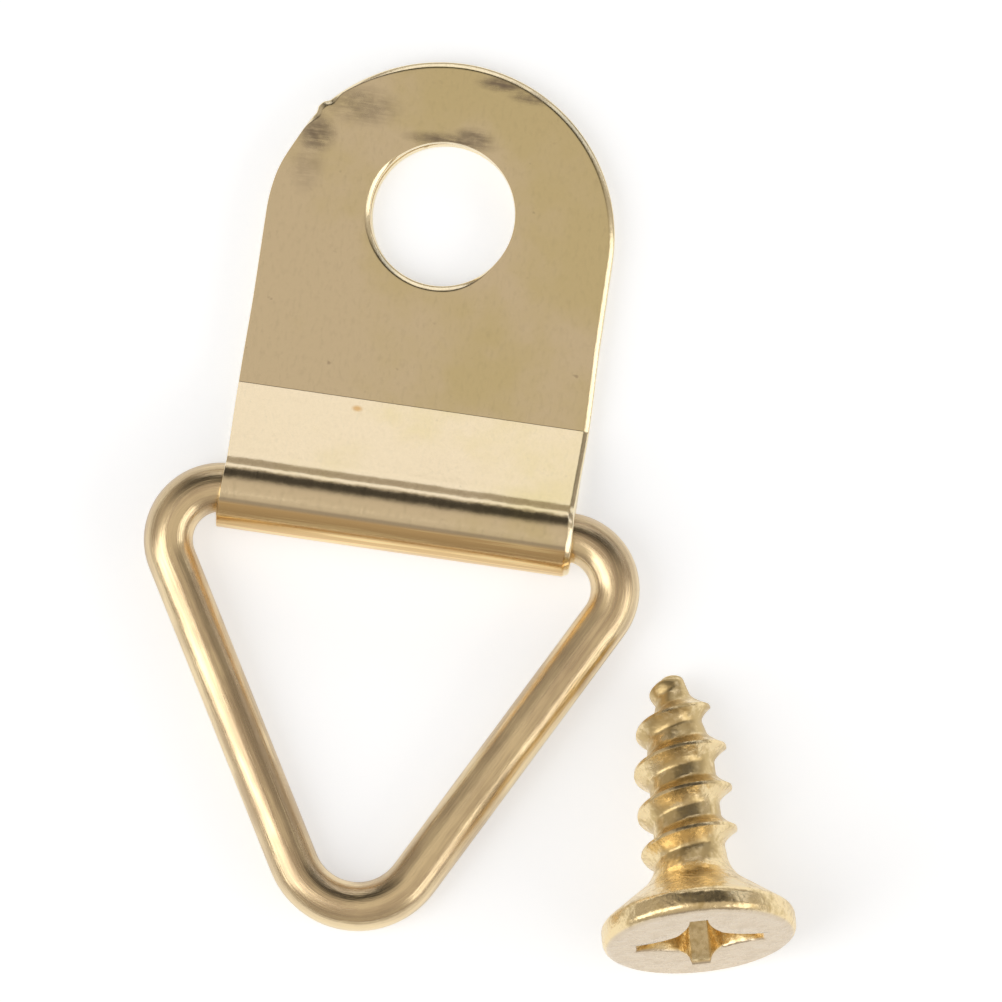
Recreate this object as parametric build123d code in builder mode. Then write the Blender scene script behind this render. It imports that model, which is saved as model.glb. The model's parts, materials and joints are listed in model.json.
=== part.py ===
"""Triangle picture hanger: a folded sheet strap, a wire triangle that swings in its roll, and its screw.

Millimetres. The origin is the centre of the screw hole on the back face, +Y points from the hole
to the triangle, and +Z points out of the wall or table that the back face lies on.
"""

from build123d import *
from math import asin, atan2, cos, degrees, hypot, radians, sin, tan
import os

os.makedirs("parts", exist_ok=True)

# Strap: one strip of sheet, folded double round the wire
sheet_thickness = 0.4
leaf_gap = 0.05
strap_width = 10.7
screw_hole_diameter = 4.4
hole_to_end = 4.7
hole_to_foot = 5.95
hole_to_ring_axis = 9.3
neck_angle = 42.0
neck_bend_radius = 1.2
foot_bend_radius = 0.15
nib_width = 0.8
nib_tip_width = 0.2
nib_height = 0.13
nib_angle = -40.0
cut_overrun = 2.0

# Triangle: one round wire, its two ends meeting inside the roll
wire_diameter = 1.5
roll_clearance = 0.08
ring_width = 15.2
apex_half_angle = 29.2
base_corner_radius = 1.6
apex_bend_radius = 2.1
butt_gap = 0.15

# Screw: countersunk head with a cross recess, and a coarse thread down to a gimlet point
screw_length = 8.6
head_diameter = 5.9
head_edge_radius = 0.28
head_band = 0.56
underside_angle = 52.0
underside_fillet_radius = 1.4
core_diameter = 2.25
core_taper = 0.12
point_length = 2.2
point_diameter = 0.7
thread_diameter = 3.15
thread_pitch = 1.33
thread_base_width = 0.7
crest_width = 0.09
thread_start_depth = 2.1
thread_fade_length = 0.8
thread_runout_length = 0.8
thread_end_margin = 0.25
recess_span = 3.9
recess_depth = 1.3
recess_tip_width = 0.55
recess_root_width = 1.35
screw_beside = 11.0
screw_beyond = 21.1
screw_heading = -75.8
rest_gap = 0.01

# Shares of the sizes that they follow
recess_floor_share = 0.36
thread_seat_share = 0.6
first_crossing_share = 0.32
sections_per_turn = 20

# Worked out for the strap and its roll
wire_radius = wire_diameter / 2
roll_radius = wire_radius + roll_clearance + sheet_thickness
front_face = 2 * sheet_thickness + leaf_gap
end_radius = strap_width / 2
end_centre = end_radius - hole_to_end
roll_top = 2 * roll_radius
roll_outer_face = hole_to_ring_axis + roll_radius

# The ramp is the line that touches the bend at the neck and the bend at the foot
neck_reach = roll_radius + neck_bend_radius
neck_centre_y = hole_to_ring_axis - neck_reach * sin(radians(neck_angle))
neck_centre_z = roll_radius + neck_reach * cos(radians(neck_angle))
ramp_run = neck_centre_y - hole_to_foot
ramp_rise = neck_centre_z - (front_face + foot_bend_radius)
ramp_slope = degrees(
    atan2(ramp_rise, ramp_run)
    - asin((neck_bend_radius - foot_bend_radius) / hypot(ramp_run, ramp_rise))
)

# Worked out for the triangle: its centreline with sharp corners, before they are bent
base_angle = 90 - apex_half_angle
corner_setback = base_corner_radius / tan(radians(base_angle / 2))
half_base = ring_width / 2 - wire_radius - base_corner_radius + corner_setback
sharp_height = half_base / tan(radians(apex_half_angle))
apex_height = sharp_height - apex_bend_radius * (1 / sin(radians(apex_half_angle)) - 1)
droop = degrees(asin((roll_radius - wire_radius) / apex_height))

# Worked out for the screw
head_radius = head_diameter / 2
core_radius = core_diameter / 2
crest_radius = thread_diameter / 2
thread_height = crest_radius - core_radius
point_radius = point_diameter / 2
point_start = screw_length - point_length
thread_end_depth = screw_length - thread_end_margin
thread_length = thread_end_depth - thread_start_depth
section_count = round(sections_per_turn * thread_length / thread_pitch)
fillet_rise = underside_fillet_radius * (1 - cos(radians(underside_angle)))


def core_radius_at(depth):
    """Radius of the screw's core at a depth below the face of its head."""
    if depth <= point_start:
        return core_radius - core_taper * depth / point_start
    share = (depth - point_start) / point_length
    shoulder = core_radius - core_taper
    return shoulder + (point_radius - shoulder) * share


def thread_share_at(depth):
    """Share of the thread's full height: it grows out of the core, runs level, and dies at the point."""
    start_share = min(1, (depth - thread_start_depth) / thread_fade_length)
    end_share = min(1, (screw_length - depth) / thread_runout_length)
    return start_share * end_share**0.5


def crest_radius_at(depth):
    """Radius of the thread's crest at a depth below the face of the head."""
    return core_radius_at(depth) + thread_height * thread_share_at(depth)


# The screw lies on the lower edge of its head and near the crest that first meets the surface
first_crossing = thread_start_depth + thread_pitch * first_crossing_share
crossing_count = int((thread_end_depth - first_crossing) / thread_pitch) + 1
crossings = [first_crossing + thread_pitch * turn for turn in range(crossing_count)]
tilt = min(atan2(head_radius - crest_radius_at(depth), depth - head_band) for depth in crossings)
edge_centre_height = (head_radius - head_edge_radius) * cos(tilt) + head_band * sin(tilt)
head_centre_height = edge_centre_height + head_edge_radius + rest_gap


# Strap: the fold is drawn as its outer skin, seen from the side, and takes its thickness inwards
with BuildPart() as strap:
    with BuildSketch(Plane.YZ):
        with BuildLine():
            back_leaf = Line((-hole_to_end - cut_overrun, 0), (hole_to_ring_axis, 0))
            roll = JernArc(back_leaf @ 1, back_leaf % 1, roll_radius, 180 + neck_angle)
            neck = JernArc(roll @ 1, roll % 1, neck_bend_radius, ramp_slope - neck_angle)
            foot_start = (
                hole_to_foot + foot_bend_radius * sin(radians(ramp_slope)),
                front_face + foot_bend_radius * (1 - cos(radians(ramp_slope))),
            )
            ramp = Line(neck @ 1, foot_start)
            foot = JernArc(ramp @ 1, ramp % 1, foot_bend_radius, -ramp_slope)
            front_leaf = Line(foot @ 1, (-hole_to_end - cut_overrun, front_face))
            offset(amount=sheet_thickness, side=Side.LEFT)
        make_face()
    extrude(amount=strap_width / 2, both=True)
    # The blank's outline: straight sides, rounded ends, and the nib where it was sheared off its strip
    with BuildSketch(Plane.XY):
        with Locations((0, end_centre)):
            Circle(end_radius)
            Rectangle(strap_width, roll_outer_face - end_centre, align=(Align.CENTER, Align.MIN))
            with PolarLocations(end_radius, 1, start_angle=nib_angle):
                Polygon(
                    (-nib_height, -nib_width / 2),
                    (nib_height, -nib_tip_width / 2),
                    (nib_height, nib_tip_width / 2),
                    (-nib_height, nib_width / 2),
                    align=None,
                )
    extrude(amount=roll_top, mode=Mode.INTERSECT)
    with Locations((0, 0, front_face)):
        Hole(screw_hole_diameter / 2)

strap.part.label = "strap"
export_step(strap.part, "parts/strap.step")


# Triangle ring: the wire runs from the butt joint in the roll round its three bends and back
ring_plane = Plane(
    origin=(0, hole_to_ring_axis, roll_radius),
    x_dir=(1, 0, 0),
    z_dir=(0, sin(radians(droop)), cos(radians(droop))),
)
with BuildPart() as triangle_ring:
    with BuildLine(ring_plane) as bent_wire:
        FilletPolyline(
            (butt_gap / 2, 0),
            (half_base, 0),
            (0, sharp_height),
            (-half_base, 0),
            (-butt_gap / 2, 0),
            radius=(base_corner_radius, apex_bend_radius, base_corner_radius),
        )
    with BuildSketch(Plane(origin=bent_wire.line @ 0, z_dir=bent_wire.line % 0)):
        Circle(wire_radius)
    sweep()

triangle_ring.part.label = "triangle_ring"
export_step(triangle_ring.part, "parts/triangle_ring.step")


# Screw: its own plane has y down the shank from the middle of the head's face, and faces downwards
heading = radians(screw_heading)
shank_direction = Vector(cos(heading) * cos(tilt), sin(heading) * cos(tilt), -sin(tilt))
across_shank = Vector(0, 0, 1).cross(shank_direction)
head_centre = Vector(-screw_beside, screw_beyond, head_centre_height)
screw_side = Plane(origin=head_centre, x_dir=across_shank, z_dir=across_shank.cross(shank_direction))
head_face = Plane(origin=head_centre, x_dir=across_shank, z_dir=shank_direction)


def cross_outline(span, tip_width, root_width):
    """Corners of the cross recess: four arms that taper from the middle to their tips."""
    arm = [(span / 2, -tip_width / 2), (span / 2, tip_width / 2), (root_width / 2, root_width / 2)]
    return [Vector(x, y).rotate(Axis.Z, 90 * quarter) for quarter in range(4) for x, y in arm]


with BuildPart() as screw:
    # Head, core and point in one turning, with a countersunk underside that runs out in a fillet
    with BuildSketch(screw_side):
        with BuildLine():
            face = Line((0, 0), (head_radius - head_edge_radius, 0))
            upper_edge = JernArc(face @ 1, (1, 0), head_edge_radius, 90)
            band = Line(upper_edge @ 1, (head_radius, head_band))
            lower_edge = JernArc(band @ 1, (0, 1), head_edge_radius, underside_angle)
            cone_run = (lower_edge @ 1).X - core_radius_at(thread_start_depth) - fillet_rise
            cone_length = cone_run / sin(radians(underside_angle))
            cone = Line(lower_edge @ 1, lower_edge @ 1 + (lower_edge % 1) * cone_length)
            fillet_arc = JernArc(cone @ 1, cone % 1, underside_fillet_radius, -underside_angle)
            core = Line(fillet_arc @ 1, (core_radius_at(point_start), point_start))
            point = Line(core @ 1, (point_radius, screw_length))
            tip = Line(point @ 1, (0, screw_length))
            Line(tip @ 1, face @ 0)
        make_face()
    revolve(axis=Axis(head_centre, shank_direction))
    # Thread: a ridge with a narrow crest, wound round the core on its radial sections
    for section in range(section_count + 1):
        depth = thread_start_depth + thread_length * section / section_count
        root_width = crest_width + (thread_base_width - crest_width) * thread_share_at(depth)
        seat = thread_seat_share * core_radius_at(depth)
        crest = crest_radius_at(depth)
        turn = 360 * (depth - first_crossing) / thread_pitch - 90
        with BuildSketch(screw_side.moved(Rotation(0, turn, 0))):
            with BuildLine():
                Polyline(
                    (seat, depth - root_width / 2),
                    (crest, depth - crest_width / 2),
                    (crest, depth + crest_width / 2),
                    (seat, depth + root_width / 2),
                    close=True,
                )
            make_face()
    loft(ruled=True)
    # Cross recess: it narrows from the face of the head to its floor
    for depth, share in ((0, 1), (recess_depth, recess_floor_share)):
        corners = cross_outline(recess_span * share, recess_tip_width, recess_root_width)
        with BuildSketch(head_face.offset(depth)):
            with BuildLine():
                Polyline(*corners, close=True)
            make_face()
    loft(ruled=True, mode=Mode.SUBTRACT)

screw.part.label = "screw"
export_step(screw.part, "parts/screw.step")
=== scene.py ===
# %% [markdown]
# # A triangle picture hanger and its screw
# The real hanger is two pieces: a strip of brass-plated sheet, folded double round a bent wire
# triangle. One countersunk screw fixes it through the hole in both leaves.
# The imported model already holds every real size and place, so the lesson starts by loading it, and
# each piece below is built where the model says, in metres.

import json
from math import asin, atan2, ceil, copysign, cos, degrees, hypot, pi, radians, sin, sqrt, tan, tau

import bmesh
import bpy
from mathutils import Matrix, Vector, geometry, noise


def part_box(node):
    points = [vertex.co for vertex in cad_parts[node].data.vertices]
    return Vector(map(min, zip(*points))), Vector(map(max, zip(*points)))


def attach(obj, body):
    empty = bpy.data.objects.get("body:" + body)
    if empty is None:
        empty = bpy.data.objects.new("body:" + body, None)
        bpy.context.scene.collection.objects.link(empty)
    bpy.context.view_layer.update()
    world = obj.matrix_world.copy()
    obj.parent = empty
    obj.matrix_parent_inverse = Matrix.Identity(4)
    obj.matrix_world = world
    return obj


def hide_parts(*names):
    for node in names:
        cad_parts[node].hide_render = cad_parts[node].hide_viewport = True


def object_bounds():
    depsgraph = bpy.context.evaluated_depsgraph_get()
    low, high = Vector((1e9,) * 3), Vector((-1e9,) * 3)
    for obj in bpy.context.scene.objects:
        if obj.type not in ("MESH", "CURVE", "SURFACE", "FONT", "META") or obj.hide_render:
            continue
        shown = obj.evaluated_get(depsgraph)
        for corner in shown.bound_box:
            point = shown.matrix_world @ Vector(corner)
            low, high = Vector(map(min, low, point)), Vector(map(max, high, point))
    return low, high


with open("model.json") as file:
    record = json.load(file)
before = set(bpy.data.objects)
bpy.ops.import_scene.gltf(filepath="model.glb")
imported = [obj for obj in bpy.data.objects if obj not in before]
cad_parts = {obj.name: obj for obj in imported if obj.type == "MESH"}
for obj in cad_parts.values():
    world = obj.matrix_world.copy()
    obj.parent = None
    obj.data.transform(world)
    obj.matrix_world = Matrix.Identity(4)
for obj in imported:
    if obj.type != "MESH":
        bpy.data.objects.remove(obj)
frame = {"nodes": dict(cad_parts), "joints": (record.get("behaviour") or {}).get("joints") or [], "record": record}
cad_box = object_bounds()
scene = bpy.context.scene

# %% [markdown]
# ## Sizes
# The model says where the screw hole, the hinge line of the triangle and the screw are. From those
# few places, and the thickness of the sheet and the wire, all other sizes follow. Lengths are
# written in millimetres, as on a drawing, and turned into metres when a mesh is made.

# %% Sizes in millimetres, read from the model
MM = 0.001

mounts = {mount["name"]: mount for mount in frame["record"]["mounts"]}
hinge = next(joint for joint in frame["joints"] if joint["name"] == "ring_swing")
strap_low, strap_high = (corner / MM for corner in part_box("strap"))
ring_low, ring_high = (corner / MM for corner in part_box("triangle_ring"))

hole_radius = mounts["screw_hole"]["dims"]["r_mm"]
front_face = mounts["screw_hole"]["dims"]["length_mm"]
roll_axis = Vector(hinge["pos_m"]) / MM
roll_radius = roll_axis.z
strap_width = strap_high.x - strap_low.x
strap_end = strap_low.y
head_centre = Vector(mounts["screw_drive"]["pos_m"]) / MM
screw_tip = Vector(mounts["screw_thread"]["pos_m"]) / MM
screw_length = (screw_tip - head_centre).length
print(f"strap {strap_width:.2f} mm wide, roll radius {roll_radius:.2f}, screw {screw_length:.2f}")


def add_object(name, data):
    """A new object in the scene, at the origin."""
    made = bpy.data.objects.new(name, data)
    scene.collection.objects.link(made)
    return made


def mesh_piece(name, points, faces, material):
    """A new object from points in millimetres and faces of point numbers."""
    mesh = bpy.data.meshes.new(name)
    mesh.from_pydata([tuple(Vector(point) * MM) for point in points], [], faces)
    mesh.materials.append(material)
    return add_object(name, mesh)


# %% [markdown]
# ## The camera
# The photograph looks down from about 40 cm, ten degrees off the vertical. The hanger lies a little
# below its middle, turned eight degrees, and is seen slightly from the side of its triangle.
# Standing the camera at that same place, and only turning and zooming it, keeps the photograph's
# view of every edge.

# %% Place the camera where the photograph was taken from
photo_hole = (-49.0, 145.0)
photo_pixels_per_mm = 10.0
photo_tilt = radians(10.1)
photo_distance = 404.0
photo_turn = radians(8.4)
frame_margin = 1.06

# The screw hole lies this far to the right of the photograph's middle, and this far below it
hole_across, hole_down = (pixels / photo_pixels_per_mm for pixels in photo_hole)
foreshortening = cos(photo_tilt) + hole_down * sin(photo_tilt) / photo_distance
hole_down /= foreshortening

image_right = Vector((-cos(photo_turn), -sin(photo_turn), 0))
image_down = Vector((-sin(photo_turn), cos(photo_turn), 0))
camera_place = (
    image_right * -hole_across
    + image_down * (photo_distance * sin(photo_tilt) - hole_down)
    + Vector((0, 0, photo_distance * cos(photo_tilt)))
)
target = (cad_box[0] + cad_box[1]) / 2 / MM
looking = (target - camera_place).normalized()
view_right = looking.cross(-image_down).normalized()
view_up = view_right.cross(looking)

camera = add_object("camera", bpy.data.cameras.new("camera"))
scene.camera = camera
axes = Matrix((view_right, view_up, -looking)).transposed().to_4x4()
camera.matrix_world = Matrix.Translation(camera_place * MM) @ axes

# The lens takes in the point of the model that lies farthest from the middle of the view
reach = 0
for node in frame["nodes"].values():
    for vertex in node.data.vertices:
        ray = vertex.co / MM - camera_place
        across, up = (abs(ray.dot(axis) / ray.dot(looking)) for axis in (view_right, view_up))
        reach = max(reach, across, up)
camera.data.lens = camera.data.sensor_width / 2 / (reach * frame_margin)
print(f"camera at {camera_place[:]}, lens {camera.data.lens:.0f} mm")

# %% [markdown]
# ## The light
# Bright metal shows its surroundings more than its own colour, so the studio is the finish's
# better half. In the photograph the flat leaf mirrors a warm grey overhead, the sloping ramp
# mirrors a bright panel behind the hanger, and a dark gap lies between the two, which the neck
# shows as a dark line. The wire shows a bright streak on its outer sides only, so two more panels
# stand on the left and on the right, a little to the front.

# %% Helpers for shader and geometry nodes
scene.view_settings.view_transform = "Standard"


def is_socket(value):
    """Whether a value is the output of a node, and not a plain number or colour."""
    return isinstance(value, bpy.types.NodeSocket)


def fill(node, inputs):
    """Gives a node's inputs their values, or links them to the outputs of other nodes."""
    for name, value in inputs.items():
        if is_socket(value):
            node.id_data.links.new(value, node.inputs[name])
        else:
            node.inputs[name].default_value = value


def add_node(tree, kind, inputs=None, settings=None):
    """A new shader or geometry node with its settings and its inputs filled in."""
    made = tree.nodes.new(kind)
    for name, value in (settings or {}).items():
        setattr(made, name, value)
    fill(made, inputs or {})
    return made


def extend(kind, inputs, settings=None):
    """A new node in the tree that the first socket among its inputs belongs to."""
    tree = next(value.id_data for value in inputs.values() if is_socket(value))
    return add_node(tree, kind, inputs, settings)


def build(kind, inputs, settings=None):
    """The first output of such a node, for chains of nodes."""
    return extend(kind, inputs, settings).outputs[0]


def calculate(operation, *values):
    """One sum of sockets and numbers."""
    return build("ShaderNodeMath", dict(enumerate(values)), {"operation": operation})


def times(first, second):
    """One value multiplied by another."""
    return calculate("MULTIPLY", first, second)


def minus(first, second):
    """One value less another."""
    return calculate("SUBTRACT", first, second)


def plus(first, share, second):
    """One value and a share of another."""
    return calculate("MULTIPLY_ADD", second, share, first)


def split(vector):
    """The three parts of a vector."""
    return extend("ShaderNodeSeparateXYZ", {0: vector}).outputs


def ease(value, low, high, least=0.0, most=1.0):
    """Eases from the least at the low value to the most at the high one."""
    inputs = {"Value": value, "From Min": low, "From Max": high, "To Min": least, "To Max": most}
    return build("ShaderNodeMapRange", inputs, {"interpolation_type": "SMOOTHSTEP"})


def mix(share, first, second, kind="MIX"):
    """Blends two colours by a share."""
    settings = {"data_type": "RGBA", "blend_type": kind}
    inputs = {"Factor": share, 6: first, 7: second}
    return extend("ShaderNodeMix", inputs, settings).outputs[2]


def add_ramp(source, stops):
    """A ramp of greys, from stops of a place and a grey."""
    ramp = extend("ShaderNodeValToRGB", {"Fac": source})
    elements = ramp.color_ramp.elements
    while len(elements) < len(stops):
        elements.new(0.5)
    for element, (place, grey) in zip(elements, stops):
        element.position = place
        element.color = (grey, grey, grey, 1)
    return ramp.outputs["Color"]


print("view transform:", scene.view_settings.view_transform)

# %% World: a warm grey overhead that darkens towards the horizon, and a dark gap behind
# Each stop is the cosine of the angle from overhead, and the brightness there
studio_stops = [(0.0, 0.42), (0.1, 0.42), (0.3, 0.46), (0.6, 0.56), (0.87, 0.64), (1.0, 0.67)]
studio_tint = (1, 0.9, 0.78, 1)
# Each edge of the gap is soft, from where the grey is still bright to where it is dark
gap_depth = 0.9
gap_top, gap_foot, gap_side = (0.14, 0.5), (0.82, 0.77), (0.8, 0.45)

world = bpy.data.worlds.new("studio")
world.use_nodes = True
scene.world = world
tree = world.node_tree
direction = split(add_node(tree, "ShaderNodeTexCoord").outputs["Generated"])
behind = times(direction["Y"], -1.0)
aside = calculate("ABSOLUTE", direction["X"])
gap = times(ease(behind, *gap_top), ease(behind, *gap_foot))
gap = times(gap, ease(aside, *gap_side))
lit = plus(1.0, -gap_depth, gap)
grey = mix(1.0, add_ramp(direction["Z"], studio_stops), studio_tint, "MULTIPLY")
fill(tree.nodes["Background"], {"Color": grey, "Strength": lit})
print(len(tree.nodes), "nodes in the studio")

# %% Lamps: a panel behind the hanger, and one on each side
panel_distance = 420.0


def add_panel(name, azimuth, from_overhead, width, depth, brightness, colour=(1, 1, 1)):
    """A rectangular lamp that faces the object, its power in step with its size and brightness.

    An azimuth of 0 is behind the hanger, 90 on its left in the picture, and 180 at the viewer.
    """
    lamp = bpy.data.lights.new(name, "AREA")
    lamp.shape = "RECTANGLE"
    lamp.color = colour
    lamp.size, lamp.size_y = width * MM, depth * MM
    lamp.energy = brightness * pi * lamp.size * lamp.size_y
    panel = add_object(name, lamp)
    turn, fall = radians(azimuth), radians(from_overhead)
    flat = sin(fall)
    away = Vector((sin(turn) * flat, -cos(turn) * flat, cos(fall)))
    panel.location = (target + away * panel_distance) * MM
    panel.rotation_mode = "QUATERNION"
    panel.rotation_quaternion = away.to_track_quat("Z", "Y")
    print(f"{name}: {width} by {depth} mm, {lamp.energy:.2f} W")


add_panel(
    "back_panel", azimuth=-14, from_overhead=63, width=720, depth=84,
    brightness=0.86, colour=(0.83, 0.88, 1),
)
add_panel("left_panel", azimuth=118, from_overhead=45, width=230, depth=460, brightness=1.75)
add_panel("right_panel", azimuth=-103, from_overhead=62, width=430, depth=190, brightness=1.35)

# %% [markdown]
# ## The floor
# The hanger lies on white. A matt floor of near-white keeps the soft shadow, and a little light of
# its own, for the rays that see the floor directly or in the metal, takes it up to full white. The
# faint cool tint of that light is what shows in the shadows.

# %% Floor
floor_half_width = 2500.0
floor_drop = 0.02
floor_colour = (0.82, 0.85, 0.88, 1)
floor_glow = (0.42, 0.43, 0.45, 1)

floor_finish = bpy.data.materials.new("white_floor")
floor_finish.use_nodes = True
tree = floor_finish.node_tree
tree.nodes.clear()
path = add_node(tree, "ShaderNodeLightPath").outputs
seen = calculate("MAXIMUM", path["Is Camera Ray"], path["Is Glossy Ray"])
seen = calculate("MAXIMUM", seen, path["Is Transmission Ray"])
matt = add_node(tree, "ShaderNodeBsdfDiffuse", {"Color": floor_colour}).outputs[0]
glow = build("ShaderNodeEmission", {"Color": floor_glow, "Strength": seen})
both = build("ShaderNodeAddShader", {0: matt, 1: glow})
extend("ShaderNodeOutputMaterial", {"Surface": both})

w = floor_half_width
floor_corners = [(-w, -w, 0), (w, -w, 0), (w, w, 0), (-w, w, 0)]
floor = mesh_piece("floor", floor_corners, [(0, 1, 2, 3)], floor_finish)
floor.location.z = -floor_drop * MM
print(f"floor {2 * w:.0f} mm wide, {floor_drop} mm below the hanger")

# %% [markdown]
# ## The strap
# The real strap starts as a flat blank: a tool punches its rounded outline and its two holes, and
# the strip is then folded double round the wire. The mesh is made the same way. Its points are laid
# out on the flat blank, where the outline is simple, and then each one is carried round the fold.
# That way the edges, the holes and the surface stay one closed skin, with no joins to hide.

# %% The fold, seen from the side: straight runs and bends
sheet = 0.4
foot_y = 5.974
neck_angle = radians(37)
neck_bend = 1.0
foot_bend = 0.05

neck_reach = roll_radius + neck_bend
run = roll_axis.y - neck_reach * sin(neck_angle) - foot_y
rise = roll_radius + neck_reach * cos(neck_angle) - front_face - foot_bend
ramp_slope = atan2(rise, run) - asin((neck_bend - foot_bend) / hypot(run, rise))
ramp_length = sqrt(run**2 + rise**2 - (neck_bend - foot_bend) ** 2)

# Each run has its length on the outer skin and how much it turns a unit of length
fold_runs = [
    (roll_axis.y - strap_end, 0),
    (roll_radius * (pi + neck_angle), 1 / roll_radius),
    (neck_bend * (neck_angle - ramp_slope), -1 / neck_bend),
    (ramp_length, 0),
    (foot_bend * ramp_slope, -1 / foot_bend),
    (foot_y - strap_end, 0),
]
blank_length = sum(length for length, curvature in fold_runs)
roll_start = fold_runs[0][0]
roll_end = roll_start + fold_runs[1][0]
foot_place = blank_length - fold_runs[-1][0]
print(f"the flat blank is {strap_width:.2f} by {blank_length:.2f} mm")
print(f"its ramp slopes {degrees(ramp_slope):.1f} deg")


def fold(x, along, depth):
    """The folded place of a point of the flat blank, at a depth below its outer skin."""
    y, z, heading = strap_end, 0.0, 0.0
    for length, curvature in fold_runs:
        step = min(along, length)
        turned = heading + curvature * step
        if curvature:
            y += (sin(turned) - sin(heading)) / curvature
            z += (cos(heading) - cos(turned)) / curvature
        else:
            y += step * cos(heading)
            z += step * sin(heading)
        heading = turned
        along -= step
        if along <= 0:
            break
    return Vector((x, y - sin(heading) * depth, z + cos(heading) * depth))


# %% Rows across the blank: close in the bends, wide on the flats
bend_step = radians(5)
flat_step = 0.5
beside_bend = (0.03, 0.12)

rows = [0.0]
for length, curvature in fold_runs:
    start = rows[-1]
    if curvature:
        count = ceil(abs(curvature) * length / bend_step)
        rows += [start + length * step / count for step in range(1, count + 1)]
    else:
        inner = length - 2 * beside_bend[-1]
        count = ceil(inner / flat_step)
        rows += [start + place for place in beside_bend]
        rows += [start + beside_bend[-1] + inner * step / count for step in range(1, count)]
        rows += [start + length - place for place in reversed(beside_bend)] + [start + length]
print(len(rows), "rows across the blank")

# %% The outline of the blank, with the nib where it was sheared off its strip
end_radius = strap_width / 2
end_steps = 200
nib_angle = radians(40)
nib_height, nib_half_width, nib_half_tip = 0.1, 0.3, 0.07
flat_depth, flat_reach = 0.06, 1.3
near_centre, far_centre = Vector((0, end_radius)), Vector((0, blank_length - end_radius))


def smooth(value):
    """Eases a share between 0 and 1, and holds it there."""
    value = min(1, max(0, value))
    return value * value * (3 - 2 * value)


def unit(angle):
    """The flat direction at an angle."""
    return Vector((cos(angle), sin(angle)))


def nib(angle):
    """How far the outline stands out: a small nib, and a slightly flattened stretch beside it."""
    place = (nib_angle - abs(angle)) * end_radius
    stand = nib_height * smooth((nib_half_width - abs(place)) / (nib_half_width - nib_half_tip))
    return stand - flat_depth * smooth(1 - abs(place - flat_reach) / flat_reach)


def rounded_end(centre, angles):
    """Points round one end of the blank, with their directions inwards and its nib on the right."""
    points = []
    for angle in angles:
        stand = nib(angle) if cos(angle) > 0 else 0
        points.append((centre + unit(angle) * (end_radius + stand), -unit(angle)))
    return points


sides = [row for row in rows if end_radius < row < blank_length - end_radius]
outline = rounded_end(near_centre, [-pi * step / end_steps for step in range(end_steps + 1)])
outline += [(Vector((-end_radius, row)), Vector((1, 0))) for row in sides]
outline += rounded_end(far_centre, [pi * (1 - step / end_steps) for step in range(end_steps + 1)])
outline += [(Vector((end_radius, row)), Vector((-1, 0))) for row in reversed(sides)]
nib_place = far_centre + unit(nib_angle) * end_radius
print(len(outline), "points on the outline")

# %% The two holes, which were punched before the fold, so they meet with a small error
hole_steps = 112
hole_misfit = Vector((-0.07, 0.02))
hole_centres = [Vector((0, -strap_end)) + hole_misfit, Vector((0, blank_length + strap_end))]
outwards = [unit(2 * pi * step / hole_steps) for step in range(hole_steps)]
holes = [[(centre + way * hole_radius, way) for way in outwards] for centre in hole_centres]
print(hole_steps, "points on each hole")

# %% [markdown]
# ### Sheared edges
# A punch doesn't leave a square edge. It rolls the skin over on the side where it enters, rubs a
# bright band down the wall, and then the metal breaks with a rougher slope. Those three parts catch
# the light as the fine bright line round every edge of the real strap, so they are modelled.

# %% The wall of a cut edge: how far in from the outline, and how deep below the skin
edge_wall = [
    (0.24, 0), (0.2, 0), (0.18, 0.003), (0.155, 0.013), (0.115, 0.034), (0.07, 0.058),
    (0.03, 0.081), (0.01, 0.105), (0, 0.15), (0, 0.2), (0.002, 0.235), (0.014, 0.27),
    (0.026, 0.33), (0.034, 0.375), (0.055, sheet),
]
least_rollover = 0.12
aside_gain, aside_start = 0.9, 0.3
nib_rollover, nib_start = 0.8, 1.2
broken_from, broken_over = 0.25, 0.1
break_roughness, break_grain, break_layer = 0.012, 5, 3


def rollover_at(place, inward):
    """How much of the full rollover a place on the outline has.

    The punch stood a little aside in its die, so the skin rolled over more on one side, and most
    of all at the nib.
    """
    on_side = smooth((inward.x - inward.y) * aside_gain + aside_start)
    at_nib = smooth(nib_start - (place - nib_place).length / nib_rollover)
    return least_rollover + (1 - least_rollover) * max(on_side, at_nib)


print(f"the skin rolls over {rollover_at(nib_place, -unit(nib_angle)):.2f} of its most at the nib")

# %% How real sheet departs from the ideal fold
leaf_wave, leaf_wave_length = 0.012, 5.5
neck_wave, neck_wave_length, neck_wave_reach, neck_seed = 0.008, (2.2, 3), 1.4, 7
ripple_start = 2
roll_bulge, bulge_power = 0.12, 6
foot_flare, flare_length = 0.05, 3.0


def ripple(x, along):
    """How far the skin stands proud of the ideal fold, because sheet is never quite flat."""
    level = leaf_wave * noise.noise(Vector((x, along, 0)) / leaf_wave_length)
    at_neck = smooth(1 - abs(along - roll_end) / neck_wave_reach)
    place = Vector((x / neck_wave_length[0], along / neck_wave_length[1], neck_seed))
    level += neck_wave * at_neck * noise.noise(place)
    return level * smooth((along - roll_start) / ripple_start)


def strap_point(place, depth):
    """A point of the blank, bulged where the fold squeezes it, rippled and folded."""
    x, along = place
    share = (along - roll_start) / (roll_end - roll_start)
    squeeze = sin(pi * min(1, max(0, share))) * abs(x / end_radius) ** bulge_power
    x += copysign(roll_bulge * squeeze * (0.5 + depth / sheet / 2), x)
    x *= 1 + foot_flare / end_radius * smooth(1 - abs(along - foot_place) / flare_length)
    return fold(x, along, depth - ripple(*place))


print("the far end of the strap is at", strap_point(Vector((0, blank_length)), 0)[:])

# %% Mesh of the strap: the walls of its cut edges
strap_points, strap_faces, blank_places = [], [], []


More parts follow.
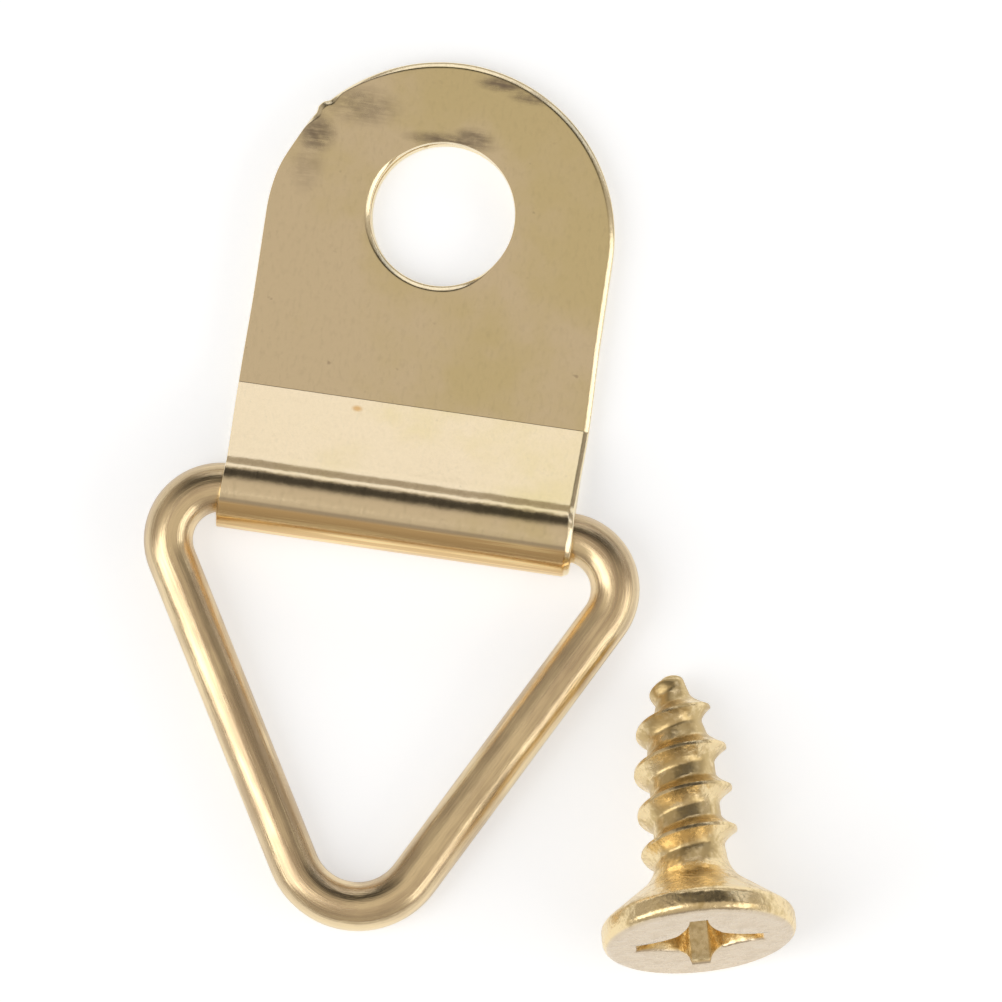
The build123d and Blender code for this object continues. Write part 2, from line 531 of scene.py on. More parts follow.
def add_loop(loop, inset, depth):
    """Adds the points of a cut edge at one depth and returns their numbers."""
    first = len(strap_points)
    broken = smooth((depth - broken_from) / broken_over) * (depth < sheet)
    for place, inward in loop:
        share = rollover_at(place, inward) if depth < sheet / 2 else 1
        grain = place.to_3d() * break_grain + Vector((0, 0, depth * break_layer))
        rough = break_roughness * broken * noise.noise(grain)
        place = place + inward * (inset * share + rough)
        strap_points.append(strap_point(place, depth))
        blank_places.append((*place, depth))
    return list(range(first, len(strap_points)))


def add_wall(loop):
    """Joins the loops of one cut edge, and returns those at the outer and the inner skin."""
    rings = [add_loop(loop, inset, depth) for inset, depth in edge_wall]
    for ring, following in zip(rings, rings[1:]):
        for here in range(len(ring)):
            after = (here + 1) % len(ring)
            strap_faces.append((ring[here], ring[after], following[after], following[here]))
    return rings[0], rings[-1]


walls = [add_wall(loop) for loop in (outline, *holes)]
print(len(strap_points), "points,", len(strap_faces), "faces in the walls")

# %% Mesh of the strap: its two skins
column_step = 0.5
skin_margin = 0.38
same_place = 1e-6


def in_blank(x, along):
    """Whether a place on the flat blank is well inside the outline and outside the holes."""
    beyond = max(end_radius - along, along - (blank_length - end_radius), 0)
    if beyond and hypot(x, beyond) > end_radius - flat_depth - skin_margin:
        return False
    here = Vector((x, along))
    return all((here - centre).length > hole_radius + skin_margin for centre in hole_centres)


def add_skin(depth, borders):
    """Fills one skin between its borders, with rows of points where the bends need them."""
    half = end_radius - edge_wall[0][0]
    count = round(2 * half / column_step)
    columns = [-half + 2 * half * step / count for step in range(1, count)]
    inner = [(x, row) for row in rows for x in columns if in_blank(x, row)]
    first = len(strap_points)
    strap_points.extend(strap_point(place, depth) for place in inner)
    blank_places.extend((*place, depth) for place in inner)
    flat, numbers, edges, borders_at = [], [], [], []
    for border, ring in enumerate(borders):
        start = len(flat)
        flat += [Vector(blank_places[number][:2]) for number in ring]
        numbers += ring
        borders_at += [border] * len(ring)
        edges += [(start + here, start + (here + 1) % len(ring)) for here in range(len(ring))]
    flat += [Vector(place) for place in inner]
    numbers += range(first, first + len(inner))
    borders_at += [0] * len(inner)
    made = geometry.delaunay_2d_cdt(flat, edges, [], 1, same_place)
    for triangle in made[2]:
        corners = [made[3][corner][0] for corner in triangle]
        # A triangle between three points of one hole's edge lies in the hole
        touched = {borders_at[corner] for corner in corners}
        if touched == {0} or len(touched) > 1:
            strap_faces.append([numbers[corner] for corner in corners])


add_skin(0, [outer for outer, inner in walls])
add_skin(sheet, [inner for outer, inner in walls])
print(len(strap_points), "points,", len(strap_faces), "faces with both skins")

# %% [markdown]
# ## Finishes
# All three pieces are steel with a thin coat of brass. What tells one from another is how each was
# worked: the sheet was rolled and stamped, the wire was drawn through a die, and the screw was
# forged and rolled. Each mesh carries its own map of places, on the flat blank, along the wire or
# round the screw, so the marks follow the metal. One helper starts a finish from that map, and
# another dresses the bare metal in the colour, the gloss and the height that its marks give it.
# Some colours below also hold painted shade and painted reflections.

# %% Helpers for finishes
def metal(name, map_name):
    """A new plated finish, and the map of places that its mesh carries."""
    finish = bpy.data.materials.new(name)
    finish.use_nodes = True
    settings = {"attribute_name": map_name}
    places = add_node(finish.node_tree, "ShaderNodeAttribute", settings=settings)
    return finish, places.outputs["Vector"]


def vector_sum(operation, *values):
    """The outputs of one sum of vectors."""
    settings = {"operation": operation}
    return extend("ShaderNodeVectorMath", dict(enumerate(values)), settings).outputs


def mottle(place, scale, detail=3.0, rough=0.55):
    """Noise from 0 to 1 over the places, with its own fineness along each axis."""
    scaled = vector_sum("MULTIPLY", place, scale)[0]
    inputs = {"Vector": scaled, "Scale": 1.0, "Detail": detail, "Roughness": rough}
    return extend("ShaderNodeTexNoise", inputs).outputs["Fac"]


def spot(place, centre, reach):
    """A soft oval mark round a place, at its full strength within a fifth of its reach."""
    offset = vector_sum("SUBTRACT", place, centre)[0]
    offset = vector_sum("DIVIDE", offset, reach)[0]
    return ease(vector_sum("LENGTH", offset)["Value"], 1.0, 0.2)


def blend(first, share, second):
    """A share of one noise and the rest of another."""
    return plus(times(second, 1 - share), share, first)


def dress(finish, colour, roughness, height, bump):
    """Ends a finish of bare metal, where a height of 1 stands out by a bump in millimetres."""
    nodes = finish.node_tree.nodes
    normal = build("ShaderNodeBump", {"Height": height, "Distance": bump * MM})
    look = {"Metallic": 1, "Base Color": colour, "Roughness": roughness, "Normal": normal}
    fill(nodes["Principled BSDF"], look)
    print(len(nodes), "nodes in the finish", finish.name)


# %% The sheet: patches of warm and olive brass, and a fine grain
sheet_warm, sheet_olive = (0.81, 0.68, 0.46, 1), (0.76, 0.64, 0.36, 1)
patch_fineness, patch_range = (0.3, 0.3, 0.3), (0.36, 0.66)
patch_lean_across, patch_lean_along = -0.025, 0.014
grain_fineness, grain_greys = (7.0, 3.0, 7.0), [(0.25, 0.9), (0.5, 1.0), (0.75, 1.0)]

strap_finish, blank = metal("plated_sheet", "blank")
axis = split(blank)
lean = plus(times(axis["Y"], patch_lean_along), patch_lean_across, axis["X"])
lean = minus(lean, patch_lean_along * (blank_length + strap_end))
patches = calculate("ADD", mottle(blank, patch_fineness, 4.0), lean)
colour = mix(ease(patches, *patch_range), sheet_warm, sheet_olive)
grain = mottle(blank, grain_fineness, 4.0, 0.7)
colour = mix(1.0, colour, add_ramp(grain, grain_greys), "MULTIPLY")
print(len(strap_finish.node_tree.nodes), "nodes for the patches and the grain")

# %% Marks on the sheet: dark smears, pits, and one speck
# Smears: partly where the tools rubbed the sheet, partly painted reflection of the dark room
dark_rub_pit_and_reflection, sheet_speck = (0.27, 0.21, 0.15, 1), (0.62, 0.36, 0.12, 1)
# Each smear has its place across and along the blank, its reach, and its strength
rub_and_reflection_spots = [
    ((4.15, 29.45, 0), (0.75, 0.8, 2), 0.95),
    ((4.3, 28.5, 0), (0.7, 1.2, 2), 0.3),
    ((2.9, 30.5, 0), (1.5, 0.8, 2), 0.55),
    ((-1.2, 31.75, 0), (1.0, 0.3, 2), 1.0),
    ((-2.2, 31.5, 0), (1.0, 0.3, 2), 0.9),
    ((-0.6, 30.0, 0), (0.8, 0.4, 2), 0.85),
    ((0.1, 29.78, 0), (1.7, 0.34, 2), 1.0),
]
speck_place, speck_reach, speck_strength = (1.67, 21.2, 0), (0.22, 0.16, 2), 0.8
blotch_fineness, streak_fineness, blotch_share = (2.2, 3.0, 1.0), (0.8, 9.0, 1.0), 0.55
rub_and_reflection_range = (0.27, 0.62)
pit_fineness, pit_range, pit_strength = (2.4, 2.9, 3.0), (0.70, 0.80), 0.4

rub_and_reflection_mask = 0.0
for centre, reach, strength in rub_and_reflection_spots:
    mark = times(spot(blank, centre, reach), strength)
    rub_and_reflection_mask = calculate("MAXIMUM", rub_and_reflection_mask, mark)
blotches = mottle(blank, blotch_fineness, 4.0, 0.6)
streaks = mottle(blank, streak_fineness, 4.0, 0.7)
worn = blend(blotches, blotch_share, streaks)
rub_and_reflection_mask = times(rub_and_reflection_mask, ease(worn, *rub_and_reflection_range))
pits = mottle(blank, pit_fineness, 2.0)
pits = ease(pits, *pit_range, 0.0, pit_strength)
# One dark colour for the rubbed smears, the painted dark reflections and the pits
colour = mix(calculate("MAXIMUM", rub_and_reflection_mask, pits), colour, dark_rub_pit_and_reflection)
speck = spot(blank, speck_place, speck_reach)
colour = mix(times(speck, speck_strength), colour, sheet_speck)
print(len(rub_and_reflection_spots), "smears,", len(strap_finish.node_tree.nodes), "nodes so far")

# %% Painted reflection of the shaded floor on the roll's outer face; cut edge walls rubbed bright
floor_reflection_gold, floor_reflection_streak = (0.72, 0.50, 0.24, 1), (0.92, 0.70, 0.36, 1)
sheet_edge = (0.90, 0.78, 0.54, 1)
floor_reflection_angle = radians(27)
outer_edge = roll_end - roll_radius * (neck_angle + floor_reflection_angle)
outer_run_in, outer_softness = 0.6, 0.07
line_offset, line_range, line_strength = 0.05, (0.13, 0.03), 0.5
shine_fineness, shine_range = (0.16, 6.0, 1.0), (0.5, 0.64)
edge_depths, edge_strength = (0.002, 0.03), 0.8

begins = ease(axis["Y"], roll_start, roll_start + outer_run_in)
ends = ease(axis["Y"], outer_edge + outer_softness, outer_edge - outer_softness)
outer = times(begins, ends)
# A painted dark line where the painted reflection ends: the reflected dark edge of the horizon
from_line = calculate("ABSOLUTE", minus(axis["Y"], outer_edge + line_offset))
line = ease(from_line, *line_range, 0.0, line_strength)
colour = mix(line, colour, dark_rub_pit_and_reflection)
# Painted reflection of the floor beside the roll: shaded, deep gold from the brass, bright streaks
shine = ease(mottle(blank, shine_fineness), *shine_range)
colour = mix(outer, colour, mix(shine, floor_reflection_gold, floor_reflection_streak))
rubbed = ease(axis["Z"], *edge_depths, 0.0, edge_strength)
colour = mix(rubbed, colour, sheet_edge)
print(f"the gold ends {outer_edge - roll_start:.2f} mm round the roll")

# %% Gloss of the sheet, and the crumple where its neck was bent back
least_roughness, grain_roughness, rub_and_reflection_roughness = 0.11, 0.12, 0.25
crumple_aside, crumple_reach = -0.3, (60, 0.65, 60)
crumple_fineness, crumple_strength = (1.3, 1.0, 1.0), 0.45
grain_strength, sheet_bump = 0.08, 0.05

roughness = plus(least_roughness, grain_roughness, grain)
roughness = plus(roughness, rub_and_reflection_roughness, rub_and_reflection_mask)
crumple = spot(blank, (0, roll_end + crumple_aside, 0), crumple_reach)
crumple = times(crumple, mottle(blank, crumple_fineness, 2.0))
crumple = times(crumple, crumple_strength)
height = plus(crumple, grain_strength, grain)
dress(strap_finish, colour, roughness, height, sheet_bump)

# %% Turn the strap's points into its piece
sharp_angle = radians(35)


def finish_piece(piece, body, node):
    """Points the faces outwards, smooths them, hands the piece to its body and hides its CAD node."""
    mesh, shell = piece.data, bmesh.new()
    shell.from_mesh(mesh)
    bmesh.ops.recalc_face_normals(shell, faces=shell.faces)
    open_edges = sum(not edge.is_manifold for edge in shell.edges)
    volume = shell.calc_volume() / MM**3
    shell.to_mesh(mesh)
    shell.free()
    mesh.polygons.foreach_set("use_smooth", [True] * len(mesh.polygons))
    mesh.set_sharp_from_angle(angle=sharp_angle)
    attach(piece, body)
    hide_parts(node)
    triangles = sum(len(face.vertices) - 2 for face in mesh.polygons)
    print(f"{piece.name}: {triangles} triangles, {open_edges} open edges, {volume:.1f} mm3")


def add_map(piece, name, places):
    """Gives a piece its map: a place for every point of its mesh."""
    places_map = piece.data.attributes.new(name, "FLOAT_VECTOR", "POINT")
    places_map.data.foreach_set("vector", [value for place in places for value in place])


strap_sheet = mesh_piece("strap_sheet", strap_points, strap_faces, strap_finish)
add_map(strap_sheet, "blank", blank_places)
finish_piece(strap_sheet, "strap", "strap")

# %% [markdown]
# ## The wire triangle
# The real triangle is a cut length of drawn wire, bent at three corners on a tool, so its shape
# follows a rule: straight runs, an arc at each corner, and one round section all along. Geometry
# Nodes can say just that. A line of five corner points is given its places from named sizes, Fillet
# Curve bends the corners, and Curve to Mesh runs the wire's section along the path.

# %% Helpers for Geometry Nodes
def size_tree(name, sizes):
    """A Geometry Nodes tree with a named input for each size, and the outputs of its input node."""
    tree = bpy.data.node_groups.new(name, "GeometryNodeTree")
    tree.interface.new_socket("Geometry", in_out="INPUT", socket_type="NodeSocketGeometry")
    for size in sizes:
        tree.interface.new_socket(size, in_out="INPUT", socket_type="NodeSocketFloat")
    tree.interface.new_socket("Geometry", in_out="OUTPUT", socket_type="NodeSocketGeometry")
    return tree, tree.nodes.new("NodeGroupInput").outputs


def close_tree(shape, finish):
    """Ends a tree with real geometry in one finish."""
    real = build("GeometryNodeRealizeInstances", {0: shape})
    dressed = build("GeometryNodeSetMaterial", {"Geometry": real, "Material": finish})
    tree = extend("NodeGroupOutput", {0: dressed}).id_data
    print(len(tree.nodes), "nodes in the tree", tree.name)


def run_tree(piece, tree, sizes):
    """Runs a tree on a piece with its sizes, and keeps the result as the piece's plain mesh."""
    modifier = piece.modifiers.new(tree.name, "NODES")
    modifier.node_group = tree
    for socket in tree.interface.items_tree:
        if socket.in_out == "INPUT" and socket.name in sizes:
            modifier[socket.identifier] = sizes[socket.name]
    graph = bpy.context.evaluated_depsgraph_get()
    ready = piece.evaluated_get(graph)
    made = bpy.data.meshes.new_from_object(ready, preserve_all_data_layers=True, depsgraph=graph)
    piece.modifiers.clear()
    piece.data = made


def pick(kind, index, values):
    """Chooses one of some values by its place in line."""
    made = extend("GeometryNodeIndexSwitch", {"Index": index}, {"data_type": kind})
    while len(made.index_switch_items) < len(values):
        made.index_switch_items.new()
    fill(made, {place + 1: value for place, value in enumerate(values)})
    return made.outputs[0]


def place_at(x, y, z=0.0):
    """A place from its three parts."""
    return build("ShaderNodeCombineXYZ", {"X": x, "Y": y, "Z": z})


def store(shape, name, value, kind="FLOAT_VECTOR"):
    """Keeps a value at every point of a shape under a name."""
    settings = {"data_type": kind, "domain": "POINT"}
    inputs = {"Geometry": shape, "Name": name, "Value": value}
    return build("GeometryNodeStoreNamedAttribute", inputs, settings)


def recall(tree, name, kind="FLOAT_VECTOR"):
    """Reads back the value that is kept under a name."""
    kept = add_node(tree, "GeometryNodeInputNamedAttribute", {"Name": name}, {"data_type": kind})
    return kept.outputs[0]


# %% Sizes of the triangle, from the CAD box of the wire
roll_clearance = 0.08
apex_half_angle = radians(29.2)
corner_radius, apex_radius = 1.6, 2.1

wire_radius = roll_radius - sheet - roll_clearance
outer_half = (ring_high.x - ring_low.x) / 2
setback = corner_radius / tan((pi / 2 - apex_half_angle) / 2)
base_half = outer_half - wire_radius - corner_radius + setback
sharp_height = base_half / tan(apex_half_angle)
apex_height = sharp_height - apex_radius * (1 / sin(apex_half_angle) - 1)
droop = asin((roll_radius - wire_radius) / apex_height)
wire_sizes = {
    "Wire Radius": wire_radius,
    "Base Half": base_half,
    "Height": sharp_height,
    "Corner Radius": corner_radius,
    "Apex Radius": apex_radius,
    "Butt Gap": 0.15,
    "Lean": -0.35,
    "Step": 0.15,
}
print(f"wire {2 * wire_radius:.2f} mm, triangle {2 * outer_half:.1f} wide")
print(f"it droops {degrees(droop):.2f} deg, so its free corner rests on the floor")

# %% [markdown]
# The wire was pulled through a die, which leaves fine lines along it, and no marks across it. So
# its noise is stretched many times along the run of the wire.

# %% The drawn wire: lines along its run
wire_bright, wire_dull = (0.84, 0.68, 0.42, 1), (0.56, 0.43, 0.27, 1)
line_fineness, cloud_fineness, cloud_share = (3.2, 3.2, 0.09), (0.9, 0.9, 0.35), 0.5
wire_dull_range, wire_rough_range, wire_roughness = (0.4, 0.59), (0.35, 0.65), (0.17, 0.3)
wire_bump = 0.02

wire_finish, drawn_map = metal("drawn_wire", "drawn")
lines = mottle(drawn_map, line_fineness, 5.0, 0.75)
clouds = mottle(drawn_map, cloud_fineness, 3.0)
worn = blend(clouds, cloud_share, lines)
colour = mix(ease(worn, *wire_dull_range), wire_bright, wire_dull)
roughness = ease(worn, *wire_rough_range, *wire_roughness)
dress(wire_finish, colour, roughness, lines, wire_bump)

# %% The tree of the bent wire: five corners, bent and measured along
wire_sides, corner_steps = 40, 26

tree, size = size_tree("bent_wire", wire_sizes)
half_gap = times(size["Butt Gap"], 0.5)
corner_places = [
    place_at(half_gap, 0.0),
    place_at(size["Base Half"], 0.0),
    place_at(size["Lean"], size["Height"]),
    place_at(times(size["Base Half"], -1.0), 0.0),
    place_at(times(half_gap, -1.0), 0.0),
]
corner_radii = [0.0, size["Corner Radius"], size["Apex Radius"], size["Corner Radius"], 0.0]
index = add_node(tree, "GeometryNodeInputIndex").outputs[0]
path = add_node(tree, "GeometryNodeMeshLine", {"Count": len(corner_places)}).outputs[0]
places = pick("VECTOR", index, corner_places)
path = build("GeometryNodeSetPosition", {"Geometry": path, "Position": places})
path = build("GeometryNodeMeshToCurve", {"Mesh": path})
bends = {"Curve": path, "Count": corner_steps, "Radius": pick("FLOAT", index, corner_radii)}
path = build("GeometryNodeFilletCurve", bends, {"mode": "POLY"})
steps = {"Curve": path, "Length": size["Step"]}
path = build("GeometryNodeResampleCurve", steps, {"mode": "LENGTH"})
along = add_node(tree, "GeometryNodeSplineParameter").outputs["Length"]
path = store(path, "run", along, "FLOAT")
print(len(corner_places), "corners,", corner_steps, "steps in each bend")

# %% The tree of the bent wire: its section, run along the path
circle = {"Resolution": wire_sides, "Radius": size["Wire Radius"]}
section = build("GeometryNodeCurvePrimitiveCircle", circle)
section = store(section, "section", add_node(tree, "GeometryNodeInputPosition").outputs[0])
swept = {"Curve": path, "Profile Curve": section, "Fill Caps": True}
wire = build("GeometryNodeCurveToMesh", swept)
across = split(recall(tree, "section"))
drawn = place_at(across["X"], across["Y"], recall(tree, "run", "FLOAT"))
close_tree(store(wire, "drawn", drawn), wire_finish)

# %% Bend the wire and lay it in the roll
wire_triangle = mesh_piece("wire_triangle", [], [], wire_finish)
run_tree(wire_triangle, tree, wire_sizes)
lay = Matrix.Translation(roll_axis * MM) @ Matrix.Rotation(-droop, 4, "X") @ Matrix.Scale(MM, 4)
wire_triangle.data.transform(lay)
finish_piece(wire_triangle, "ring", "triangle_ring")

# %% [markdown]
# ## The screw
# A wood screw is forged and then rolled: the head is punched with its cross, and dies press the
# thread out of the shank. The head is turned in mesh code here, ring by ring. The thread follows a
# rule, so it is a Geometry Nodes grid: its rows are wound along the helix, so the crest always runs
# along one row and stays sharp and clean from the head to the point.

# %% The forged screw: a mottled coat, with painted shade in the thread's valleys and on the face
screw_bright, screw_dull_and_shade = (0.87, 0.70, 0.41, 1), (0.62, 0.47, 0.23, 1)
face_painted_shade, face_shade_strength = (0.63, 0.535, 0.42, 1), 0.85
valley_radii, valley_depths, face_depths = (1.3, 1.05), (1.6, 2.4), (0.10, 0.02)
lump_fineness, speck_fineness, speck_share = (1.7, 1.7, 1.7), (7.0, 7.0, 7.0), 0.4
screw_dull_range, screw_rough_range, screw_roughness = (0.46, 0.68), (0.35, 0.7), (0.2, 0.36)
valley_shade_strength, speck_bump, screw_bump = 0.13, 0.12, 0.05

screw_finish, turned_map = metal("plated_screw", "turned")
axis = split(turned_map)
squares = [times(axis[name], axis[name]) for name in "XY"]
radius = calculate("SQRT", calculate("ADD", *squares))
lumps = mottle(turned_map, lump_fineness, 3.0, 0.5)
specks = mottle(turned_map, speck_fineness, 2.0)
# Painted shade in the valleys of the thread, below the head
deep, low = ease(radius, *valley_radii), ease(axis["Z"], *valley_depths)
valley_shade = times(deep, low)
worn = plus(blend(specks, speck_share, lumps), valley_shade_strength, valley_shade)
colour = mix(ease(worn, *screw_dull_range), screw_bright, screw_dull_and_shade)
# Painted shade on the face of the head: the shaded floor that it reflects
on_face = ease(axis["Z"], *face_depths, 0.0, face_shade_strength)
colour = mix(on_face, colour, face_painted_shade)
roughness = ease(worn, *screw_rough_range, *screw_roughness)
height = plus(lumps, speck_bump, specks)
dress(screw_finish, colour, roughness, height, screw_bump)

# %% Sizes of the screw
head_radius, head_edge, head_band = 2.943, 0.28, 0.56
underside, fillet_radius = radians(52), 1.4
core_radius, core_taper = 1.125, 0.12
point_length, point_radius, tip_round = 2.2, 0.35, 0.16
thread_pitch, thread_start, first_crossing_share = 1.33, 2.1, 0.32
first_crossing = thread_start + thread_pitch * first_crossing_share
point_start = screw_length - point_length
columns = 96

shank = (screw_tip - head_centre).normalized()
beside = Vector((0, 0, 1)).cross(shank).normalized()
above = shank.cross(beside)
print(f"the screw leans {degrees(asin(-shank.z)):.2f} deg, its side points {above[:]}")


def core_at(depth):
    """Radius of the plain shank at a depth below the face of the head."""
    if depth <= point_start:
        return core_radius - core_taper * depth / point_start
    shoulder = core_radius - core_taper
    return shoulder + (point_radius - shoulder) * (depth - point_start) / point_length


def spoke(column):
    """The direction of a column, round the shank."""
    return unit(2 * pi * column / columns)


# %% [markdown]
# The recess and the head share their columns: each one starts in the middle of the recess, climbs
# its wall, crosses the face and goes down the outside. Four groups of columns make the arms of the
# cross, and at the edge of the face they have spread to an even circle.

# %% The outline of the cross recess
recess_depth, recess_floor_share = 1.3, 0.36
arm_reach, arm_half_tip, arm_half_root, arm_flare = 1.9, 0.27, 0.66, 2.2
tip_columns = 2
quarter = columns // 4


def cross_point(column, share):
    """A point of the cross recess, whose arms draw in towards its floor."""
    arm = (column + quarter // 2) // quarter
    step = (column + quarter // 2) % quarter - quarter // 2
    reach = arm_reach * share
    if abs(step) <= tip_columns:
        x, y = reach, arm_half_tip * step / tip_columns
    else:
        slide = (abs(step) - tip_columns) / (quarter // 2 - tip_columns)
        x = reach + (arm_half_root - reach) * slide
        y = copysign(arm_half_tip + (arm_half_root - arm_half_tip) * slide**arm_flare, step)
    turn = radians(90 * arm)
    cosine, sine = cos(turn), sin(turn)
    return Vector((x * cosine - y * sine, x * sine + y * cosine))


print(f"the recess is {2 * arm_reach:.1f} mm across and {recess_depth} mm deep")

# %% The head from above: its recess and its face, ring by ring
floor_dip, floor_rings = 0.16, ((0.5, 0.1), (1, 0.0))
wall_steps = 8
lip_rings = ((0.0, 0.09), (0.02, 0.035), (0.055, 0.008), (0.1, 0.0))
face_shares = (0.35, 0.7, 1)
face_margin = 0.02
face_radius = head_radius - head_edge - face_margin


def ring_of(rule, depth):
    """One ring of the screw at a depth below its face, from a rule for the place of each column."""
    return [(*rule(column), depth) for column in range(columns)]


rings = [
    ring_of(lambda column: cross_point(column, recess_floor_share) * share, recess_depth + dip)
    for share, dip in floor_rings
]
for step in range(1, wall_steps):
    level = 1 - step / wall_steps
    share = 1 + (recess_floor_share - 1) * level
    rings.append(ring_of(lambda column: cross_point(column, share), recess_depth * level))
for swell, depth in lip_rings:
    rings.append(ring_of(lambda column: cross_point(column, 1) + spoke(column) * swell, depth))
lip = [cross_point(column, 1) + spoke(column) * lip_rings[-1][0] for column in range(columns)]
for share in face_shares:
    rings.append(
        ring_of(lambda column: lip[column].lerp(spoke(column) * face_radius, share), 0.0)
    )
print(len(rings), "rings in the recess and the face")

# %% The head from the side: its rounded edge, its band, and the cone down to the neck
edge_steps, band_steps, cone_steps = 8, 6, 5

profile = []
for step in range(edge_steps + 1):
    turn = pi / 2 * step / edge_steps
    inset, depth = head_edge * (1 - sin(turn)), head_edge * (1 - cos(turn))
    profile.append((head_radius - inset, depth))
for step in range(band_steps + 1):
    turn = underside * step / band_steps
    inset, depth = head_edge * (1 - cos(turn)), head_band + head_edge * sin(turn)
    profile.append((head_radius - inset, depth))
fillet_rise = fillet_radius * (1 - cos(underside))
cone_run = profile[-1][0] - core_at(thread_start) - fillet_rise
cone_start = Vector(profile[-1])
cone_end = cone_start + Vector((-cone_run, cone_run / tan(underside)))
for step in range(1, cone_steps + 1):
    profile.append(tuple(cone_start.lerp(cone_end, step / cone_steps)))
fillet_centre = cone_end + unit(underside) * fillet_radius
for radius, depth in profile:
    rings.append(ring_of(lambda column: spoke(column) * radius, depth))
print(f"the neck is {core_at(thread_start):.3f} mm in radius, {fillet_centre.y:.2f} below the face")

# %% Join the rings of the head, and close its recess in the middle
screw_points, screw_faces = [], []


def add_rings(rings):
    """Adds rings of points, each joined to the one before."""
    first = len(screw_points)
    for ring in rings:
        screw_points.extend(ring)
    for start in range(first, len(screw_points) - columns, columns):
        for column in range(columns):
            here, after = start + column, start + (column + 1) % columns
            screw_faces.append((here, after, after + columns, here + columns))


add_rings(rings)
middle = len(screw_points)
screw_points.append((0, 0, recess_depth + floor_dip))
screw_faces += [(middle, (column + 1) % columns, column) for column in range(columns)]
print(len(screw_points), "points,", len(screw_faces), "faces in the head")

# %% [markdown]
# ### The thread
# Rolling presses the thread out of a plain core, so its shape has three rules: the core's radius at
# each depth, the ridge's height above it, and where the ridge runs. Each point of the grid works
# out its own depth and radius from its number. A turn is a whole number of rows, and each column
# starts a little lower than the one before, which winds the rows.

# %% The tree of the threaded shank: a grid, wound along the helix
rows_a_turn, quarter_turn = 24, 0.25
shank_sizes = {
    "Length": screw_length - tip_round,
    "Core Radius": core_radius,
    "Core Taper": core_taper,
    "Point Length": point_length,
    "Point Radius": point_radius,
    "Thread Height": 0.44,
    "Thread Pitch": thread_pitch,
    "Thread Start": thread_start,
    "Thread Fade": 0.8,
    "Thread Runout": 0.8,
    "First Crossing": first_crossing,
    "Top": cone_end.y,
    "Fillet Radius": fillet_radius,
    "Neck Radius": fillet_centre.x - fillet_radius,
    "Neck Depth": fillet_centre.y,
}

tree, size = size_tree("threaded_shank", shank_sizes)
turns_before = (first_crossing + quarter_turn * thread_pitch - cone_end.y) / thread_pitch
turns_before = ceil(turns_before) + 1
turns_after = (screw_length - first_crossing) / thread_pitch
row_count = ceil((turns_before + turns_after) * rows_a_turn)
grid_size = {"Vertices X": columns + 1, "Vertices Y": row_count + 1}
grid = add_node(tree, "GeometryNodeMeshGrid", grid_size).outputs[0]
index = add_node(tree, "GeometryNodeInputIndex").outputs[0]
column = calculate("FLOOR", calculate("DIVIDE", index, row_count + 1))
row = minus(index, times(column, row_count + 1))
column_share = calculate("DIVIDE", column, columns)
turns_down = minus(calculate("DIVIDE", row, rows_a_turn), turns_before)
wound = calculate("ADD", calculate("ADD", turns_down, quarter_turn), column_share)
wound = plus(size["First Crossing"], size["Thread Pitch"], wound)
depth = calculate("MINIMUM", calculate("MAXIMUM", wound, size["Top"]), size["Length"])
print(f"{row_count} rows, {rows_a_turn} to a turn of the thread")

# %% The tree of the threaded shank: the core, from the fillet at the neck to the point
shoulder_blend = 0.15

point_depth = minus(size["Length"], size["Point Length"])
taper = calculate("DIVIDE", times(size["Core Taper"], depth), point_depth)
straight = minus(size["Core Radius"], taper)
shoulder = minus(size["Core Radius"], size["Core Taper"])
share = calculate("DIVIDE", minus(depth, point_depth), size["Point Length"])
drop = times(minus(shoulder, size["Point Radius"]), share)
pointed = minus(shoulder, drop)
core = calculate("SMOOTH_MIN", straight, pointed, shoulder_blend)

above_neck = minus(size["Neck Depth"], calculate("MINIMUM", depth, size["Neck Depth"]))
squared = times(size["Fillet Radius"], size["Fillet Radius"])
inside = minus(squared, times(above_neck, above_neck))
fillet = calculate("ADD", size["Neck Radius"], size["Fillet Radius"])
fillet = minus(fillet, calculate("SQRT", inside))
fillet = times(fillet, calculate("GREATER_THAN", above_neck, 0.0))
print(len(tree.nodes), "nodes up to the core")

# %% The tree of the threaded shank: the ridge, and the head joined on
crest_half, root_half, flank_power = 0.05, 0.47, 1.5
merge_distance = 0.0005


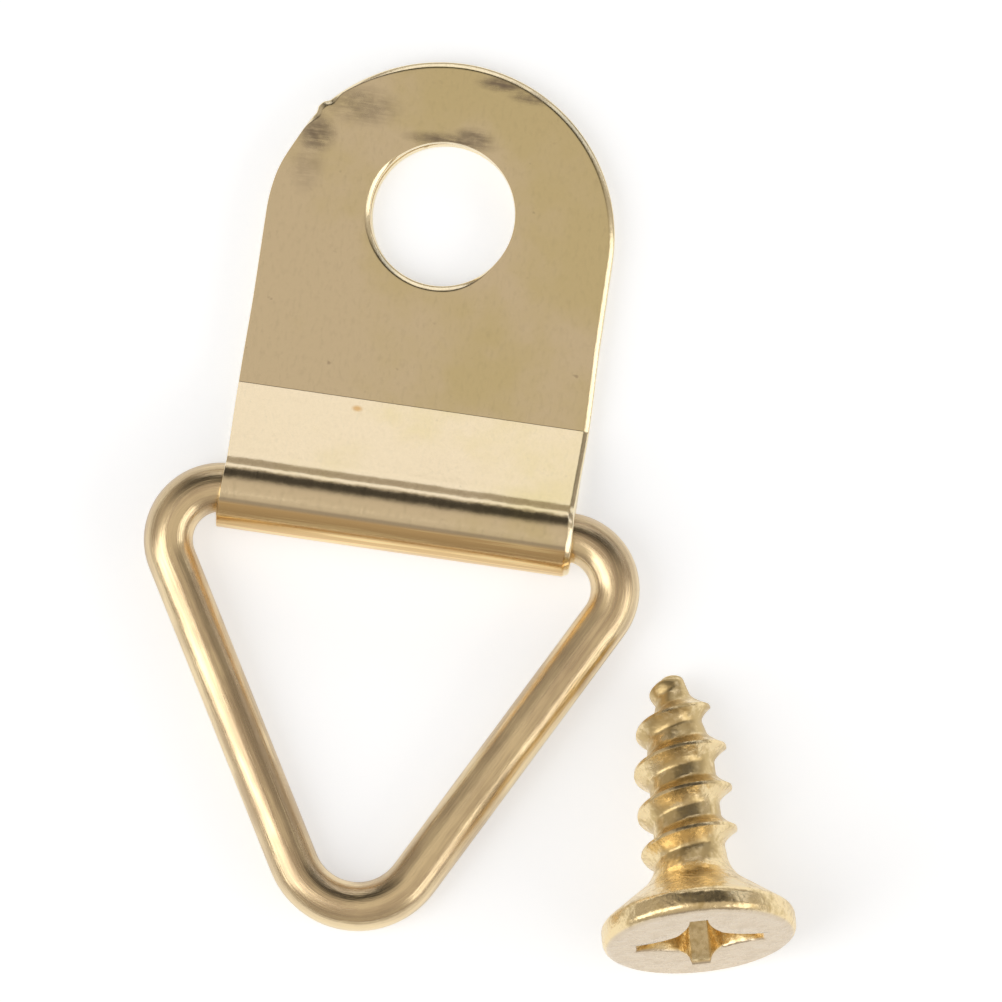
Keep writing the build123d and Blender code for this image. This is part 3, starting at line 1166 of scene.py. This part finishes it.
def share_of(part, whole):
    """A part as a share of the whole, held between 0 and 1."""
    share = calculate("DIVIDE", part, whole)
    return calculate("MINIMUM", calculate("MAXIMUM", share, 0.0), 1.0)


start_share = share_of(minus(depth, size["Thread Start"]), size["Thread Fade"])
end_share = share_of(minus(size["Length"], depth), size["Thread Runout"])
thread_share = times(start_share, calculate("SQRT", end_share))
aside = minus(turns_down, calculate("ROUND", turns_down))
aside = times(calculate("ABSOLUTE", aside), size["Thread Pitch"])
flank = share_of(minus(aside, crest_half), root_half - crest_half)
flank = calculate("POWER", minus(1.0, flank), flank_power)
ridge = times(flank, thread_share)
ridge = plus(core, size["Thread Height"], ridge)
radius = calculate("MAXIMUM", ridge, fillet)

angle = times(column_share, tau)
x = times(radius, calculate("COSINE", angle))
y = times(radius, calculate("SINE", angle))
wound_grid = {"Geometry": grid, "Position": place_at(x, y, depth)}
join = extend("GeometryNodeJoinGeometry", {0: size["Geometry"]})
fill(join, {0: build("GeometryNodeSetPosition", wound_grid)})
merge = {"Geometry": join.outputs[0], "Distance": merge_distance}
close_tree(build("GeometryNodeMergeByDistance", merge), screw_finish)

# %% Add the rounded tip, put the screw together and lay it in its place
tip_steps = 4

tip_rings = []
for step in range(tip_steps):
    turn = pi / 2 * step / tip_steps
    radius, depth = core_at(screw_length) * cos(turn), tip_round * (1 - sin(turn))
    tip_rings.append(ring_of(lambda column: spoke(column) * radius, screw_length - depth))
add_rings(tip_rings)
tip = len(screw_points)
last = tip - columns
screw_points.append((0, 0, screw_length))
screw_faces += [(last + column, last + (column + 1) % columns, tip) for column in range(columns)]

# The tree works in millimetres, so the head's points stay in them until the whole screw is scaled
unscaled = [Vector(point) / MM for point in screw_points]
wood_screw = mesh_piece("wood_screw", unscaled, screw_faces, screw_finish)
run_tree(wood_screw, tree, shank_sizes)
add_map(wood_screw, "turned", [vertex.co for vertex in wood_screw.data.vertices])
axes = Matrix((beside, above, shank)).transposed().to_4x4()
wood_screw.data.transform(Matrix.Translation(head_centre * MM) @ axes @ Matrix.Scale(MM, 4))
finish_piece(wood_screw, "screw", "screw")
